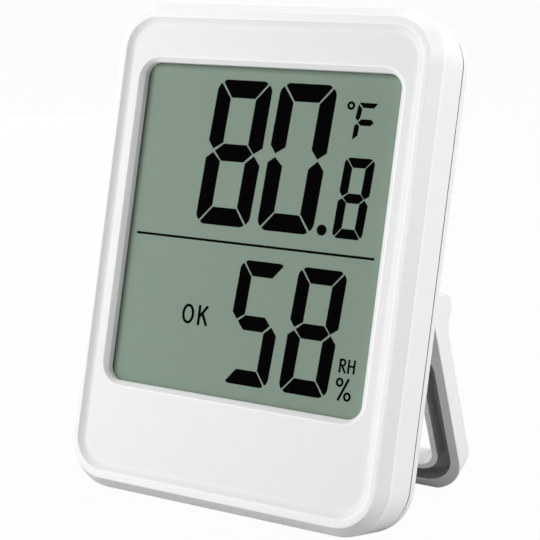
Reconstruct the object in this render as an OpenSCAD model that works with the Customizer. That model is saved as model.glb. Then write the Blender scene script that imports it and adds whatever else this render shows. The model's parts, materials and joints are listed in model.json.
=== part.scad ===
// Temperature and humidity display with a folding rear stand.
// Sizes in millimetres. Every piece is drawn with the case upright, its rim plane at
// y = 0 and its bottom at z = 0, and is then leaned back onto the open stand.

/* [Case] */
// width of the case
body_w = 60; // [58:0.5:64]
// height of the case
body_h = 82.5; // [80:0.5:88]
// depth from the front rim to the back face
body_d = 11.9; // [11.6:0.1:13]
// outer corner radius of the case
corner_r = 8.2; // [7.2:0.1:10]
// depth at which the front housing meets the back cover
seam_y = 9.5; // [9.2:0.1:9.8]
// width of the shadow gap at the seam
seam_gap = 0.24; // [0.1:0.02:0.4]
// wall thickness of both shells
wall_t = 1.6; // [1.4:0.1:2]
// height of the locating lip in front of the seam
lip_h = 1.5; // [1:0.1:2]
// thickness of the locating lip
lip_t = 1; // [0.8:0.1:1.2]
// width of the slanted edge round the back face
back_edge = 0.35; // [0.2:0.05:0.5]

/* [Front] */
// width of the slanted edge outside the rim
chamfer_w = 1.65; // [1:0.05:2.2]
// depth of the slanted edge outside the rim
chamfer_d = 2.45; // [1.8:0.05:3]
// width of the flat rim at the left and right
rim_side = 0.85; // [0.6:0.05:1.2]
// width of the flat rim at the top and bottom
rim_end = 1.25; // [0.8:0.05:1.6]
// how much tighter the rim's inner corner is than its outer one
rim_turn = 1.05; // [0.7:0.05:1.3]
// width of the slope from the rim down to the panel
cove_w = 1.25; // [0.8:0.05:1.4]
// depth of the panel below the rim
panel_sink = 0.57; // [0.3:0.05:0.9]
// depth of the inner side of the front wall below the rim
front_t = 2.25; // [2:0.05:2.5]

/* [Window] */
// clear width of the display window
window_w = 47.7; // [44:0.1:48]
// clear height of the display window
window_h = 53.95; // [48:0.05:55]
// distance from the case top to the clear window
window_top = 10.35; // [10:0.05:11.5]
// corner radius of the clear window
window_r = 3.15; // [2:0.05:5]
// width of the bevel round the window
bevel_w = 0.85; // [0.4:0.05:1]
// depth of the bevel round the window
bevel_d = 0.62; // [0.4:0.02:1]

/* [Display] */
// thickness of the front film
film_t = 0.2; // [0.15:0.05:0.3]
// thickness of each glass
glass_t = 0.7; // [0.5:0.05:0.8]
// thickness of the rear film with its reflector
reflector_t = 0.25; // [0.15:0.05:0.35]
// reach of the films past the window
film_over = 0.9; // [0.6:0.1:1.2]
// reach of the glass past the window at the sides
glass_side = 1.5; // [1.3:0.1:1.7]
// reach of the glass past the window at the top
glass_top = 1.6; // [1.3:0.1:1.7]
// reach of the glass past the window at the bottom
glass_low = 3.2; // [3:0.1:3.6]
// height of the contact ledge of the front glass
ledge_h = 2.6; // [2.4:0.1:2.8]
// distance of the rear film from the contact ledge
reflector_gap = 0.2; // [0.1:0.1:0.5]
// thickness of the foam pad behind the display
cushion_t = 0.8; // [0.6:0.1:1]
// inset of the foam pad from the window
cushion_in = 5; // [3:0.5:8]
// width of the rubber connector
zebra_w = 1.9; // [1.5:0.1:2]
// distance of the connector from the glass edge
zebra_edge = 0.3; // [0.2:0.05:0.4]
// inset of the connector from the glass ends
zebra_in = 4; // [2:0.5:6]
// wall of the rib round the glass
rib_t = 1; // [0.8:0.1:1.2]
// inner corner radius of the rib
rib_r = 0.2; // [0.1:0.05:0.5]
// reach of the rib past the rear glass
rib_over = 0.2; // [0.1:0.1:0.5]

/* [Board] */
// thickness of the circuit board
board_t = 1; // [0.8:0.1:1.2]
// reach of the board past the glass at the sides
board_side = 0.4; // [0.2:0.1:0.8]
// distance of the wide part of the board from the case ends
board_wide = 11; // [10:0.5:13]
// gap between the board and the inside of the case ends
board_end = 0.6; // [0.4:0.1:1]
// gap between the board and the screw posts
post_clear = 0.8; // [0.4:0.1:1.2]
// footprint radius of the resin drop over the chip
blob_r = 6; // [4:0.5:7]
// height of the resin drop
blob_h = 1.5; // [1:0.1:2]
// distance of the resin drop below the cell
blob_drop = 18; // [16.5:0.5:19]
// radius of the crystal can
crystal_r = 1.05; // [0.8:0.05:1.1]
// length of the crystal can
crystal_len = 6; // [5:0.5:7]
// distance of the small parts from the middle
small_x = 10.2; // [9.5:0.1:13]
// distance of the small parts below the middle of the resin drop
small_drop = 5; // [4:0.5:6]
// length of a chip capacitor
cap_len = 1.6; // [1:0.1:2]
// width of a chip capacitor
cap_w = 0.9; // [0.5:0.1:1.2]
// height of a chip capacitor
cap_h = 0.8; // [0.5:0.1:1]
// spacing of the chip capacitors
cap_step = 2.4; // [2:0.1:2.6]
// width of the sensor chip
sensor_w = 3; // [2.4:0.1:4]
// height of the sensor chip
sensor_t = 1.1; // [0.8:0.1:1.3]
// radius of the port of the sensor chip
port_r = 0.6; // [0.4:0.1:0.9]
// depth of the port of the sensor chip
port_d = 0.4; // [0.2:0.1:0.6]
// width of a push switch
switch_w = 4.6; // [4:0.1:5]
// height of a push switch
switch_h = 1.2; // [1:0.1:1.6]
// height of a switch plunger
plunger_h = 0.35; // [0.3:0.05:0.6]
// radius of a switch plunger
plunger_r = 1.2; // [1:0.1:1.5]

/* [Fasteners] */
// distance of the case screws from the case sides
screw_in = 6; // [5.8:0.1:6.1]
// radius of the screw posts
post_r = 2.4; // [2.2:0.1:2.5]
// depth at which the screw posts of the two shells meet
post_y = 6.7; // [6:0.1:7.5]
// depth of the tip of a case screw
screw_tip = 3.6; // [3.3:0.1:4]
// radius of a case screw
screw_r = 0.95; // [0.8:0.05:1]
// radius of a case screw head
head_r = 1.9; // [1.6:0.1:2]
// height of a case screw head
head_h = 1.1; // [0.9:0.1:1.2]
// depth of a case screw head below the back face
head_sink = 0.4; // [0.2:0.1:0.5]
// width of the cross recess
cross_w = 0.5; // [0.4:0.1:0.7]
// length of the cross recess
cross_l = 2.2; // [1.8:0.1:2.6]
// depth of the cross recess
cross_d = 0.6; // [0.4:0.1:0.7]
// distance of the board screws from the middle
bscrew_x = 12; // [9:0.5:16]
// depth of the tip of a board screw
bscrew_tip = 3; // [2.9:0.1:3.5]
// radius of a board screw
bscrew_r = 0.8; // [0.7:0.05:0.9]
// radius of a board screw head
bhead_r = 1.7; // [1.4:0.1:1.8]
// height of a board screw head
bhead_h = 1.1; // [0.8:0.1:1.2]
// radius of the bosses under the board
boss_r = 1.9; // [1.6:0.1:2.1]

/* [Battery box] */
// half width of the raised battery box
box_hw = 25.5; // [25.4:0.05:26]
// height of the battery box behind the back face
box_h = 7.4; // [7.2:0.05:8.4]
// distance of the battery box above the hinge line
box_low = 6.3; // [6.2:0.1:7]
// distance of the battery box from the case top
box_top = 9; // [8.8:0.1:10]
// corner radius of the battery box
box_r = 3; // [2:0.1:4]
// wall of the battery box
roof_t = 1.5; // [1.3:0.1:1.6]
// least wall between the cell bay and the side of the box
box_side = 0.2; // [0.1:0.05:0.3]
// radius of the cell
cell_r = 5.2; // [4.8:0.05:5.25]
// length of the cell barrel
cell_len = 43.5; // [42.5:0.1:43.7]
// radius of the positive end of the cell
nub_r = 1.9; // [1.6:0.1:2.5]
// length of the positive end of the cell
nub_len = 1; // [0.8:0.1:1.2]
// room for the pressed spring
spring_room = 2.7; // [2.4:0.1:2.8]
// wall of the cell bay
bay_wall = 1.2; // [1:0.1:1.3]
// thickness of the floor under the cell
tray_t = 0.7; // [0.6:0.1:0.8]
// gap between the board and the floor under the cell
tray_gap = 0.4; // [0.2:0.1:0.5]
// thickness of the contact plates
plate_t = 0.4; // [0.3:0.05:0.5]
// width of the contact plates
plate_w = 7; // [5:0.5:8]
// distance of the contact plates from the floor under the cell
plate_up = 1.5; // [1:0.1:2]
// width of the contact tails
tail_w = 2.4; // [1.6:0.2:3]
// radius of the spring coil at the plate
coil_r0 = 2.9; // [2.4:0.1:3.2]
// radius of the spring coil at the cell
coil_r1 = 2; // [1.6:0.1:2.3]
// radius of the spring wire
wire_r = 0.28; // [0.2:0.02:0.3]
// turns of the spring coil
coil_turns = 2; // [2:0.5:2.5]

/* [Battery door] */
// thickness of the door
door_t = 1.25; // [1.1:0.05:1.4]
// reach of the door past the cell bay
door_side = 0.6; // [0.4:0.1:0.8]
// thickness of the door tongues
tongue_t = 0.45; // [0.4:0.05:0.6]
// width of the door tongues
tongue_w = 0.8; // [0.6:0.1:1]
// width of the rails that hold the tongues
rail_w = 1.8; // [1.6:0.1:2]
// thickness of the rails under the roof
rail_t = 1; // [0.8:0.1:1.2]
// distance of the lower rail from the box edge
rail_edge = 0.9; // [0.5:0.1:1.2]
// number of finger ridges on the door
ridge_n = 4; // [3:1:5]
// distance of the first ridge from the middle
ridge_x = 15; // [12:0.5:16]
// spacing of the ridges
ridge_step = 1.8; // [1.4:0.1:2]
// width of a ridge groove
ridge_w = 0.8; // [0.5:0.1:1]
// length of a ridge groove
ridge_len = 7; // [5:0.5:9]
// depth of a ridge groove
ridge_d = 0.4; // [0.2:0.1:0.5]

/* [Hanging] */
// radius of the hanging hole
hang_r = 3; // [2.5:0.1:3.2]
// radius of the slot above the hanging hole
key_r = 1.4; // [1:0.1:1.6]
// rise of the slot above the hanging hole
key_rise = 4.5; // [4:0.1:4.8]
// distance of the hanging hole below the magnets
key_low = 1.5; // [1:0.1:1.6]
// thickness of a magnet
magnet_t = 2; // [1.5:0.1:2.2]
// distance of a magnet from the middle
magnet_x = 15; // [11:0.5:17]
// radius of a magnet
magnet_r = 5; // [4:0.1:5.2]
// least distance of a magnet from the door rail and the wall of the box
magnet_edge = 0.5; // [0.4:0.05:0.8]
// wall of the cup round a magnet
cup_t = 1.1; // [1:0.05:1.2]

/* [Buttons and vents] */
// radius of a button cap
button_r = 2.7; // [2.2:0.1:3.2]
// distance of each button from the middle
button_x = 10; // [8.5:0.5:13]
// height of the buttons above the case bottom
button_up = 22.5; // [22:0.5:24]
// height of a button face behind the back face
button_proud = 0.5; // [0.3:0.05:0.8]
// width of the flange that keeps a button in
flange_w = 0.9; // [0.6:0.1:1.1]
// thickness of the button flange
flange_t = 0.6; // [0.5:0.1:0.7]
// radius of the button stem
stem_r = 1.2; // [1:0.1:1.5]
// travel left between a button and its switch
press_gap = 0.6; // [0.55:0.05:0.7]
// height of the vents above the case bottom
vent_up = 12; // [11:0.5:13.5]
// number of vents
vent_n = 5; // [3:2:7]
// spacing of the vents
vent_step = 3.2; // [2.4:0.1:3.4]
// width of a vent
vent_w = 1.4; // [1:0.1:1.6]
// straight length of a vent
vent_len = 6; // [4:0.5:7]

/* [Stand] */
// gap between the stand outline and the case outline
stand_inset = 0.7; // [0.5:0.1:1.5]
// depth of the stand frame
stand_d = 4.2; // [3.8:0.1:4.6]
// wall of the outer skirt of the stand
skirt_t = 1.7; // [1.2:0.1:2]
// width of the channel between the two skirts
channel_w = 2.2; // [1.6:0.1:2.6]
// wall of the inner loop of the stand
loop_t = 1.1; // [0.8:0.1:1.4]
// depth of the channel
channel_d = 3; // [2.4:0.1:3.2]
// how much tighter the loop's corner is than the channel's outer one
loop_turn = 1.8; // [1.4:0.1:2.2]
// distance of the cross bar below the hinge line
bar_drop = 3.4; // [3.2:0.1:4]
// width of the cross bar
bar_w = 1.2; // [1:0.1:1.6]
// height of the hinge line above the case bottom
hinge_z = 36.9; // [36.4:0.1:38]
// distance of the hinge line behind the back face
hinge_q = 4.35; // [4.3:0.05:4.8]
// angle of the open stand from the back face
open_angle = 38.2; // [32:0.2:42]
// radius of the hinge knuckle
knuckle_r = 2.7; // [2.3:0.1:2.9]
// step of the stop heel below the top of the knuckle
heel_drop = 0.4; // [0.3:0.05:0.6]
// radius of the pivot studs
stud_r = 1.4; // [1.1:0.05:1.6]
// radius of the hinge ears
ear_r = 2.6; // [2.3:0.1:2.8]
// width of a hinge ear
ear_w = 3.5; // [3:0.1:4]
// distance of the stand's foot above the case bottom when folded
foot_in = 0.15; // [0.1:0.05:0.3]
// rim of the stand past its foot, before the flat is cut
foot_rim = 0.45; // [0.3:0.05:0.6]
// depth of the flat that the case stands on
base_land = 1; // [0.6:0.1:1.4]

/* [Fits] */
// radial play of the pivot studs
stud_play = 0.05; // [0.03:0.01:0.08]
// gap between the end of a pivot stud and the inner side of its ear
stud_end = 0.2; // [0.1:0.05:0.4]
// gap between the folded stand and the back face
fold_gap = 0.2; // [0.15:0.05:0.3]
// gap between the stop heel and the back face
stop_gap = 0.12; // [0.1:0.02:0.2]
// gap between the stand's arms and the hinge ears
ear_gap = 0.4; // [0.3:0.05:0.6]
// play of the locating lip in the front housing
lip_play = 0.15; // [0.1:0.05:0.25]
// play of the glass in its rib
glass_play = 0.15; // [0.1:0.05:0.25]
// play of the cell at its sides
cell_side = 0.3; // [0.2:0.05:0.5]
// play of the cell on its floor
cell_under = 0.15; // [0.1:0.05:0.3]
// least gap between the cell and the door
cell_over = 0.3; // [0.2:0.05:0.5]
// play of the door at its sides
door_play = 0.15; // [0.1:0.05:0.25]
// play of the door tongues in their grooves
slide_play = 0.1; // [0.08:0.01:0.15]
// gap in front of the door's end tongue
door_end = 0.2; // [0.15:0.05:0.3]
// radial play of a button in its hole
button_play = 0.3; // [0.2:0.05:0.4]
// gap between a button flange and the cover
flange_gap = 0.4; // [0.3:0.05:0.5]
// radial play of a screw in a clear hole
screw_play = 0.15; // [0.1:0.05:0.25]
// radial play of a screw in its thread hole
thread_play = 0.05; // [0.03:0.01:0.1]
// radial play of a screw head in its recess
head_play = 0.2; // [0.15:0.05:0.3]
// gap in front of a screw tip
tip_gap = 0.15; // [0.1:0.05:0.3]
// play of a contact tail in its slot
tail_play = 0.2; // [0.1:0.05:0.3]
// gap between the spring and the cell
coil_gap = 0.03; // [0.02:0.01:0.1]
// radial play of a magnet in its cup
magnet_play = 0.1; // [0.05:0.05:0.2]

/* [Hidden] */
$fn = 64;
// reach of cutting solids past the model, depth that bosses are rooted in their wall
far = 60;
root = 0.4;
hw = body_w / 2;
hh = body_h / 2;
in_hw = hw - wall_t;
in_hh = hh - wall_t;
in_r = corner_r - wall_t;
back_in = body_d - wall_t;
front_end = seam_y - seam_gap / 2;
cover_start = seam_y + seam_gap / 2;
win_z1 = body_h - window_top;
win_z0 = win_z1 - window_h;
win_zc = (win_z0 + win_z1) / 2;
// display stack, each depth measured back from the rim
glass_hw = window_w / 2 + glass_side;
glass_z0 = win_z0 - glass_low;
glass_z1 = win_z1 + glass_top;
glass_zc = (glass_z0 + glass_z1) / 2;
glass_hh = (glass_z1 - glass_z0) / 2;
ledge_z = glass_z0 + ledge_h;
film_y = front_t + film_t;
glass_y = film_y + glass_t;
rear_y = glass_y + glass_t;
refl_y = rear_y + reflector_t;
pcb_y = refl_y + cushion_t;
pcb_back = pcb_y + board_t;
rib_in = glass_play + rib_t;
// fasteners, the board screws halfway between the case ends and the rib
screw_x = hw - screw_in;
screw_z0 = screw_in;
screw_z1 = body_h - screw_in;
head_y = body_d - head_sink - head_h;
bscrew_z0 = (wall_t + glass_z0 - rib_in) / 2;
bscrew_z1 = (body_h - wall_t + glass_z1 + rib_in) / 2;
// cell, its bay and the box round it
tray_y0 = pcb_back + tray_gap;
tray_y1 = tray_y0 + tray_t;
cell_y = tray_y1 + cell_under + cell_r;
cell_hz = cell_r + cell_side;
door_hz = cell_hz + door_side;
bay_x = (cell_len + nub_len + spring_room) / 2 + plate_t;
nub_end = bay_x - plate_t;
barrel_x1 = nub_end - nub_len;
barrel_x0 = barrel_x1 - cell_len;
box_x = max(box_hw, bay_x + bay_wall + box_side);
box_y = max(body_d + box_h, cell_y + cell_r + cell_over + door_t);
box_z0 = hinge_z + box_low;
cell_z = box_z0 + rail_edge + rail_w + door_hz;
door_y = box_y - door_t;
roof_y = box_y - roof_t;
// flat above the door for the magnets and the hanging hole
land_z0 = cell_z + door_hz + rail_w;
land_least = 2 * (magnet_r + magnet_edge);
land_z1 = max(body_h - box_top - roof_t, land_z0 + land_least);
box_z1 = land_z1 + roof_t;
hang_z = (land_z0 + land_z1) / 2;
// buttons, whose stems end a short way behind the switches
switch_top = pcb_back + switch_h;
stem_y = switch_top + plunger_h + press_gap;
flange_y = back_in - flange_gap - flange_t;
// small parts of the board
blob_z = cell_z - blob_drop;
small_z = blob_z - small_drop;
// stand, measured in its own frame from the hinge line
stand_hw = hw - stand_inset;
stand_r = corner_r - stand_inset;
front_off = hinge_q - fold_gap;
stand_back = stand_d - front_off;
leg_len = hinge_z - stand_inset - foot_in;
arm_in = stand_hw - skirt_t - channel_w - loop_t;
ear_x1 = arm_in - ear_gap;
ear_x0 = ear_x1 - ear_w;
// lean of the case on the open stand
foot_z = hinge_z - leg_len * cos(open_angle) - front_off * sin(open_angle);
foot_y = body_d + hinge_q + leg_len * sin(open_angle) - front_off * cos(open_angle);
lean = atan2(foot_z, foot_y - body_d + base_land);
lift = (body_d - base_land) * sin(lean);
// ends of the footprint: the lower rim in front and the back of the stand's foot behind
back_y = body_d + hinge_q + stand_back * cos(open_angle);
back_z = hinge_z + stand_back * sin(open_angle);
floor_t = (back_z * cos(lean) - back_y * sin(lean) + lift) / cos(open_angle - lean);
rear_t = min(floor_t, leg_len + foot_rim);
y_front = chamfer_w * sin(lean);
y_rear = back_y * cos(lean) + back_z * sin(lean) + rear_t * sin(open_angle - lean);

white = [0.93, 0.93, 0.92];
grey = [0.6, 0.6, 0.6];
steel = [0.75, 0.75, 0.77];
green = [0.1, 0.4, 0.2];
black = [0.1, 0.1, 0.1];

// the leaning pose shared by every piece
module posed() {
    translate([0, -(y_front + y_rear) / 2, lift]) rotate([-lean, 0, 0]) children();
}

// flat rounded rectangle with half sizes a and b
module plate2d(a, b, r) {
    square([2 * (a - r), 2 * b], center = true);
    square([2 * a, 2 * (b - r)], center = true);
    for (i = [-1, 1], j = [-1, 1]) translate([i * (a - r), j * (b - r)]) circle(r);
}

// rounded slab from depth y0 to y1 round the height zc
module slab(a, b, r, y0, y1, zc) {
    translate([0, y1, zc]) rotate([90, 0, 0]) linear_extrude(y1 - y0) plate2d(a, b, r);
}

// rounded slab whose outline grows from radius r0 at y0 to r1 at y1 round fixed corner centres
module taper(cx, cz, r0, r1, y0, y1, zc) {
    translate([0, y0, zc]) {
        translate([0, 0, -cz]) linear_extrude(2 * cz)
            polygon([[-cx - r0, 0], [cx + r0, 0], [cx + r1, y1 - y0], [-cx - r1, y1 - y0]]);
        translate([-cx, 0, 0]) rotate([90, 0, 90]) linear_extrude(2 * cx)
            polygon([[0, -cz - r0], [0, cz + r0], [y1 - y0, cz + r1], [y1 - y0, -cz - r1]]);
        for (i = [-1, 1], j = [-1, 1]) translate([i * cx, 0, j * cz]) rotate([-90, 0, 0])
            cylinder(h = y1 - y0, r1 = r0, r2 = r1);
    }
}

// cutting slope from width w at the mouth y0 to nothing at depth d, carried on past the mouth
module sink(cx, cz, r, w, d, y0, zc) {
    past = d / 3;
    taper(cx, cz, r + w + w * past / d, r, y0 - past, y0 + d, zc);
}

// round bar along the depth from y0 to y1
module rod(x, z, r, y0, y1) {
    translate([x, y0, z]) rotate([-90, 0, 0]) cylinder(h = y1 - y0, r = r);
}

// square block between two corners
module block(x0, x1, y0, y1, z0, z1) {
    translate([x0, y0, z0]) cube([x1 - x0, y1 - y0, z1 - z0]);
}

// everything under the table top, seen from the upright case
module under_floor() {
    translate([0, body_d - base_land, 0]) rotate([lean, 0, 0])
        translate([-far, 0, -far]) cube([2 * far, 2 * far, far]);
}

// front shell with its rim, sunken panel, bevelled window, screw bosses and display rib
module front_housing() {
    cx = hw - corner_r;
    cz = hh - corner_r;
    rim_r = corner_r - chamfer_w;
    inner_r = rim_r - rim_turn;
    inner_cx = hw - chamfer_w - rim_side - inner_r;
    inner_cz = hh - chamfer_w - rim_end - inner_r;
    color(white) posed() difference() {
        union() {
            difference() {
                union() {
                    taper(cx, cz, rim_r, corner_r, 0, chamfer_d, hh);
                    slab(hw, hh, corner_r, chamfer_d, front_end, hh);
                }
                slab(in_hw, in_hh, in_r, front_t, far, hh);
                sink(inner_cx, inner_cz, inner_r - cove_w, cove_w, panel_sink, 0, hh);
            }
            slab(glass_hw + rib_in, glass_hh + rib_in, rib_r + rib_t, front_t - root, rear_y + rib_over, glass_zc);
            for (i = [-1, 1]) {
                rod(i * screw_x, screw_z0, post_r, front_t - root, post_y);
                rod(i * screw_x, screw_z1, post_r, front_t - root, post_y);
                rod(i * bscrew_x, bscrew_z0, boss_r, front_t - root, pcb_y);
                rod(i * bscrew_x, bscrew_z1, boss_r, front_t - root, pcb_y);
            }
        }
        slab(window_w / 2, window_h / 2, window_r, -far, far, win_zc);
        sink(window_w / 2 - window_r, window_h / 2 - window_r, window_r, bevel_w, bevel_d, panel_sink, win_zc);
        slab(glass_hw + glass_play, glass_hh + glass_play, rib_r, front_t, far, glass_zc);
        for (i = [-1, 1]) {
            rod(i * screw_x, screw_z0, screw_r + thread_play, screw_tip - tip_gap, far);
            rod(i * screw_x, screw_z1, screw_r + thread_play, screw_tip - tip_gap, far);
            rod(i * bscrew_x, bscrew_z0, bscrew_r + thread_play, bscrew_tip - tip_gap, far);
            rod(i * bscrew_x, bscrew_z1, bscrew_r + thread_play, bscrew_tip - tip_gap, far);
        }
    }
}

// one hinge ear of the back cover, joined to the underside of the battery box
module hinge_ear() {
    hub_y = body_d + hinge_q;
    block(ear_x0, ear_x1, body_d - root, hub_y, hinge_z - ear_r, box_z0 + root);
    translate([ear_x0, hub_y, hinge_z]) rotate([0, 90, 0]) cylinder(h = ear_w, r = ear_r);
    block(ear_x0, ear_x1, hub_y - root, hub_y + ear_r, hinge_z, box_z0 + root);
}

// keyhole for a wall screw in the roof of the battery box
module keyhole() {
    hole_z = hang_z - key_low;
    rod(0, hole_z, hang_r, roof_y - rail_t, far);
    rod(0, hole_z + key_rise, key_r, roof_y - rail_t, far);
    block(-key_r, key_r, roof_y - rail_t, far, hole_z, hole_z + key_rise);
}

// row of upright slots that let the air reach the sensor
module vents() {
    for (i = [0:vent_n - 1]) translate([(i - (vent_n - 1) / 2) * vent_step, 0, vent_up]) {
        block(-vent_w / 2, vent_w / 2, back_in - root, far, -vent_len / 2, vent_len / 2);
        rod(0, -vent_len / 2, vent_w / 2, back_in - root, far);
        rod(0, vent_len / 2, vent_w / 2, back_in - root, far);
    }
}

// rear shell with the raised battery box, hinge ears, hanging hole, vents and button holes
module back_cover() {
    box_hh = (box_z1 - box_z0) / 2;
    box_zc = (box_z0 + box_z1) / 2;
    lip_in = lip_play + lip_t;
    color(white) posed() difference() {
        union() {
            difference() {
                union() {
                    slab(hw, hh, corner_r, cover_start, body_d - back_edge, hh);
                    taper(hw - corner_r, hh - corner_r, corner_r, corner_r - back_edge, body_d - back_edge, body_d, hh);
                    slab(in_hw - lip_play, in_hh - lip_play, in_r - lip_play, seam_y - lip_h, cover_start, hh);
                    slab(box_x, box_hh, box_r, body_d - root, box_y - back_edge, box_zc);
                    taper(box_x - box_r, box_hh - box_r, box_r, box_r - back_edge, box_y - back_edge, box_y, box_zc);
                }
                slab(in_hw - lip_in, in_hh - lip_in, in_r - lip_in, 0, back_in, hh);
                slab(bay_x, box_hh - roof_t, roof_t, 0, roof_y, box_zc);
            }
            block(-bay_x - bay_wall, bay_x + bay_wall, tray_y0, roof_y + root, cell_z - cell_hz - bay_wall,
                cell_z + cell_hz + bay_wall);
            block(-bay_x - bay_wall, bay_x + bay_wall, roof_y - rail_t, roof_y + root, cell_z - door_hz - rail_w,
                cell_z + door_hz + rail_w);
            for (i = [-1, 1]) {
                rod(i * screw_x, screw_z0, post_r, post_y, back_in + root);
                rod(i * screw_x, screw_z1, post_r, post_y, back_in + root);
                rod(i * magnet_x, hang_z, magnet_r + magnet_play + cup_t, roof_y - magnet_t, roof_y + root);
            }
            hinge_ear();
            mirror([1, 0, 0]) hinge_ear();
        }
        block(-bay_x, bay_x, tray_y1, far, cell_z - cell_hz, cell_z + cell_hz);
        block(-bay_x, far, door_y - slide_play, far, cell_z - door_hz, cell_z + door_hz);
        block(-bay_x - tongue_w / 2 - door_end, far, door_y - slide_play, door_y + tongue_t + slide_play,
            cell_z - door_hz - tongue_w - door_play, cell_z + door_hz + tongue_w + door_play);
        for (i = [-1, 1]) {
            translate([i * (bay_x - plate_t / 2), 0, cell_z])
                block(-plate_t / 2, plate_t / 2, 0, tray_y1 + tray_t, -tail_w / 2 - tail_play, tail_w / 2 + tail_play);
            rod(i * magnet_x, hang_z, magnet_r + magnet_play, 0, roof_y);
            rod(i * screw_x, screw_z0, screw_r + screw_play, 0, far);
            rod(i * screw_x, screw_z1, screw_r + screw_play, 0, far);
            rod(i * screw_x, screw_z0, head_r + head_play, head_y, far);
            rod(i * screw_x, screw_z1, head_r + head_play, head_y, far);
            rod(i * button_x, button_up, button_r + button_play, back_in - root, far);
            translate([i * (ear_x0 - ear_w / 2), body_d + hinge_q, hinge_z]) rotate([0, i * 90, 0])
                cylinder(h = 2 * ear_w, r = stud_r + stud_play);
        }
        keyhole();
        vents();
        under_floor();
    }
}

// front polarising film of the display
module lcd_polarizer() {
    color([0.5, 0.58, 0.52]) posed() block(-window_w / 2 - film_over, window_w / 2 + film_over, front_t, film_y,
        win_z0 - film_over, win_z1 + film_over);
}

// front glass with the contact ledge along its lower edge
module lcd_front_glass() {
    color([0.6, 0.7, 0.65]) posed() block(-glass_hw, glass_hw, film_y, glass_y, glass_z0, glass_z1);
}

// shorter rear glass
module lcd_rear_glass() {
    color([0.6, 0.7, 0.65]) posed() block(-glass_hw, glass_hw, glass_y, rear_y, ledge_z, glass_z1);
}

// rear film with the reflector
module lcd_reflector() {
    color(steel) posed() block(-window_w / 2 - film_over, window_w / 2 + film_over, rear_y, refl_y,
        ledge_z + reflector_gap, win_z1 + film_over);
}

// foam pad that presses the display forward
module display_cushion() {
    color(black) posed() block(-window_w / 2 + cushion_in, window_w / 2 - cushion_in, refl_y, pcb_y,
        win_z0 + cushion_in, win_z1 - cushion_in);
}

// rubber connector between the glass ledge and the board
module zebra_strip() {
    color([0.85, 0.6, 0.7]) posed() block(-glass_hw + zebra_in, glass_hw - zebra_in, glass_y, pcb_y,
        glass_z0 + zebra_edge, glass_z0 + zebra_edge + zebra_w);
}

// circuit board, narrow between the screw posts
module circuit_board() {
    narrow = screw_x - post_r - post_clear;
    color(green) posed() difference() {
        union() {
            block(-glass_hw - board_side, glass_hw + board_side, pcb_y, pcb_back, board_wide, body_h - board_wide);
            block(-narrow, narrow, pcb_y, pcb_back, wall_t + board_end, body_h - wall_t - board_end);
        }
        for (i = [-1, 1], z = [bscrew_z0, bscrew_z1]) rod(i * bscrew_x, z, bscrew_r + screw_play, 0, far);
    }
}

// resin drop over the controller chip
module controller_blob() {
    dome = (blob_r * blob_r + blob_h * blob_h) / (2 * blob_h);
    color(black) posed() translate([0, pcb_back, blob_z]) intersection() {
        translate([0, blob_h - dome, 0]) sphere(dome, $fn = 240);
        block(-2 * blob_r, 2 * blob_r, 0, 2 * blob_h, -2 * blob_r, 2 * blob_r);
    }
}

// temperature and humidity sensor chip behind the vents
module climate_sensor() {
    color([0.85, 0.85, 0.8]) posed() translate([0, pcb_back, vent_up]) difference() {
        block(-sensor_w / 2, sensor_w / 2, 0, sensor_t, -sensor_w / 2, sensor_w / 2);
        rod(0, 0, port_r, sensor_t - port_d, far);
    }
}

// watch crystal lying on the board
module crystal_can() {
    color(steel) posed() translate([small_x, pcb_back + crystal_r, small_z]) cylinder(h = crystal_len, r = crystal_r);
}

// four small chip capacitors
module chip_capacitors() {
    color([0.7, 0.6, 0.45]) posed() for (i = [0:3]) translate([-small_x, pcb_back, small_z + cap_step * i])
        block(-cap_len / 2, cap_len / 2, 0, cap_h, 0, cap_w);
}

// two push switches under the buttons
module tact_switches() {
    color(black) posed() for (i = [-1, 1]) translate([i * button_x, 0, button_up]) {
        block(-switch_w / 2, switch_w / 2, pcb_back, switch_top, -switch_w / 2, switch_w / 2);
        rod(0, 0, plunger_r, (pcb_back + switch_top) / 2, switch_top + plunger_h);
    }
}

// four screws that hold the board to the front housing
module board_screws() {
    color(steel) posed() for (i = [-1, 1], z = [bscrew_z0, bscrew_z1]) {
        rod(i * bscrew_x, z, bscrew_r, bscrew_tip, pcb_back + bhead_h / 2);
        rod(i * bscrew_x, z, bhead_r, pcb_back, pcb_back + bhead_h);
    }
}

// one case screw with a cross recess
module case_screw(x, z) {
    translate([x, 0, z]) difference() {
        union() {
            rod(0, 0, screw_r, screw_tip, head_y + head_h / 4);
            rod(0, 0, head_r, head_y, head_y + head_h);
        }
        block(-cross_l / 2, cross_l / 2, head_y + head_h - cross_d, far, -cross_w / 2, cross_w / 2);
        block(-cross_w / 2, cross_w / 2, head_y + head_h - cross_d, far, -cross_l / 2, cross_l / 2);
    }
}

// four screws that hold the back cover to the front housing
module housing_screws() {
    color(steel) posed() for (i = [-1, 1], z = [screw_z0, screw_z1]) case_screw(i * screw_x, z);
}

// dry cell with its raised positive end
module battery_cell() {
    color([0.2, 0.25, 0.3]) posed() translate([barrel_x0, cell_y, cell_z]) rotate([0, 90, 0]) {
        cylinder(h = cell_len, r = cell_r);
        translate([0, 0, cell_len / 2]) cylinder(h = cell_len / 2 + nub_len, r = nub_r);
    }
}

// contact plate with its tail on the board, from x0 to x0 plus the plate's thickness
module contact_plate(x0) {
    block(x0, x0 + plate_t, tray_y1 + plate_up, tray_y1 + plate_up + plate_w, cell_z - plate_w / 2,
        cell_z + plate_w / 2);
    block(x0, x0 + plate_t, pcb_back, tray_y1 + 2 * plate_up, cell_z - tail_w / 2, cell_z + tail_w / 2);
}

// flat contact at the positive end
module positive_contact() {
    color(steel) posed() contact_plate(nub_end);
}

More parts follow.
